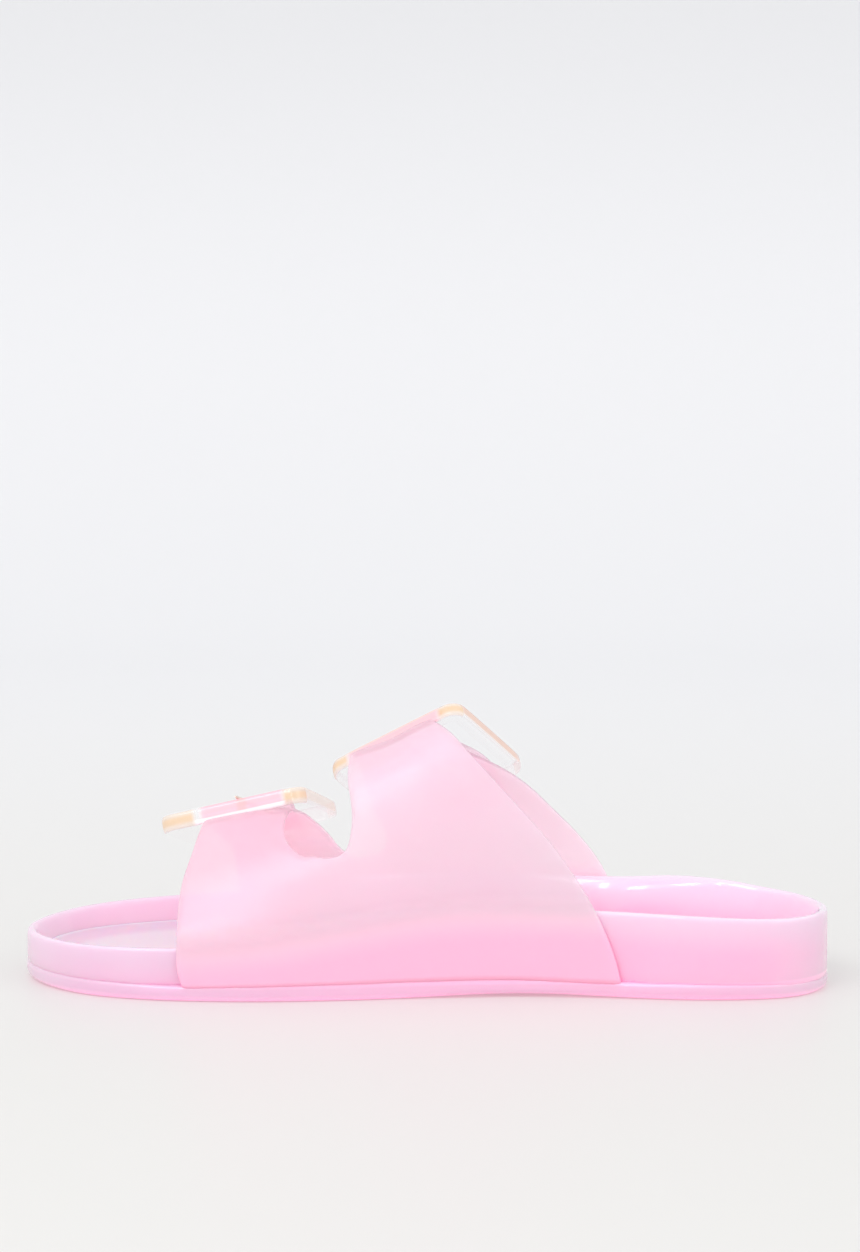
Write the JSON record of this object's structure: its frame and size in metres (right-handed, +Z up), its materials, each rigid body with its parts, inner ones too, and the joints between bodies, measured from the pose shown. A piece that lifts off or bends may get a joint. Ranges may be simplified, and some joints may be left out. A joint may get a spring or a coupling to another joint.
{
  "type": "double-buckle sandal",
  "caption": "Open slide sandal for the right foot: translucent moulded straps across the instep, each closed by a clear rectangular buckle with a metal prong, on a layered cupped sole.",
  "frame": {"origin": "middle of the sole's footprint box, on the ground", "axes": "-X towards the toe, -Y towards the medial side, +Z up"},
  "size_m": [0.2556, 0.0944, 0.0908],
  "materials": {
    "sole": "glossy translucent soft PVC",
    "insole": "satin",
    "upper": "satin translucent soft PVC",
    "buckle": "clear, polished",
    "prong": "polished rose gold"
  },
  "bodies": {
    "root": {"outsole": "sole", "footbed": "sole", "insole": "insole", "upper": "upper", "buckle_front": "buckle", "buckle_rear": "buckle", "prong_front": "prong", "prong_rear": "prong"}
  },
  "joints": []
}
